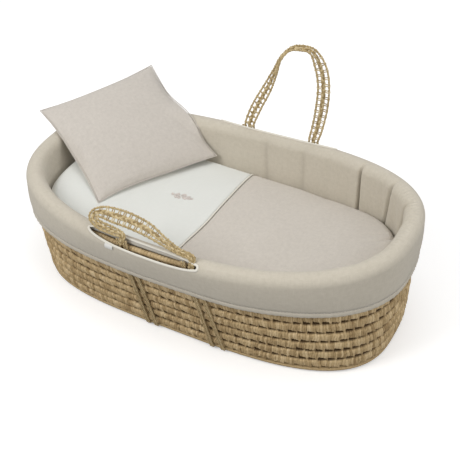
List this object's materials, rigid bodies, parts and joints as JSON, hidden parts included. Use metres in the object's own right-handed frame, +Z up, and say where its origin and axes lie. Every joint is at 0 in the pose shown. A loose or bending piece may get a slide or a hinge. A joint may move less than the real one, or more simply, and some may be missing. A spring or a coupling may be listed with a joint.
{
  "type": "moses basket",
  "caption": "Oval woven moses basket with a rim that rises to both ends, a padded liner rolled over the rim, rope handles through slots, a mattress, a two-part quilt and a square pillow.",
  "frame": {"origin": "centre of the flat underside of the basket, midway between the ends of the rim", "axes": "+X to the foot end, -X to the head end where the pillow lies, -Y to the near side with the folded-down handle, +Y to the far side, +Z up"},
  "size_m": [0.8795, 0.5293, 0.4624],
  "materials": {
    "husk": "woven maize husk, matt with dull ends and dark gaps between the stitches",
    "rope": "twisted and braided palm fibre, matt with pale bands",
    "face_fabric": "linen-look cotton, matt",
    "backing_fabric": "plain cotton lining, matt",
    "wadding": "polyester wadding, soft",
    "binding": "cream cotton bias tape",
    "elastic": "woven elastic",
    "label": "blank woven tab",
    "foam": "foam mattress core",
    "sheet": "white cotton, matt",
    "quilt_plain": "linen-look cotton, matt",
    "quilt_white": "white cotton, matt",
    "thread": "satin-stitch embroidery thread",
    "pillow_fabric": "linen-look cotton, matt"
  },
  "bodies": {
    "basket": {"basket_base": "husk", "wall_course_1": "husk", "wall_course_2": "husk", "wall_course_3": "husk", "wall_course_4": "husk", "wall_course_5": "husk", "wall_course_6": "husk", "wall_course_7": "husk", "wall_course_8": "husk", "wall_course_9": "husk", "rim_coil": "husk", "head_carry_rope_outer": "rope", "head_carry_rope_inner": "rope", "foot_carry_rope_inner": "rope", "foot_carry_rope_outer": "rope", "liner_floor": "backing_fabric", "liner_backing": "backing_fabric", "liner_wadding": "wadding", "liner_face_fabric": "face_fabric", "liner_hem_casing": "face_fabric", "hem_elastic": "elastic", "near_slot_binding": "binding", "far_slot_binding": "binding", "label_tab": "label"},
    "near_handle": {"near_handle_edge_rope_1": "rope", "near_handle_edge_rope_2": "rope", "near_handle_braid": "rope"},
    "far_handle": {"far_handle_edge_rope_1": "rope", "far_handle_edge_rope_2": "rope", "far_handle_braid": "rope"},
    "mattress": {"mattress_core": "foam", "mattress_cover": "sheet", "fitted_sheet": "sheet"},
    "quilt": {"quilt_back_panel": "quilt_plain", "quilt_filling": "wadding", "quilt_white_band": "quilt_white", "quilt_plain_panel": "quilt_plain", "quilt_piping": "binding", "sprig_embroidery": "thread"},
    "pillow": {"pillow_case": "pillow_fabric", "pillow_insert": "wadding"}
  },
  "joints": [
    {"name": "near_handle_swing", "type": "hinge", "parent": "basket", "child": "near_handle", "pos_m": [0, -0.2365, 0.245], "axis": [1, 0, 0], "range_deg": [-15, 145]},
    {"name": "far_handle_swing", "type": "hinge", "parent": "basket", "child": "far_handle", "pos_m": [0, 0.2365, 0.245], "axis": [1, 0, 0], "range_deg": [-82, 42]},
    {"name": "mattress_lift", "type": "slide", "parent": "basket", "child": "mattress", "axis": [0, 0, 1], "range_m": [0, 0.035]},
    {"name": "quilt_lift", "type": "slide", "parent": "mattress", "child": "quilt", "axis": [0, 0, 1], "range_m": [0, 0.045]},
    {"name": "pillow_lift", "type": "slide", "parent": "quilt", "child": "pillow", "axis": [0, 0, 1], "range_m": [0, 0.25]}
  ]
}
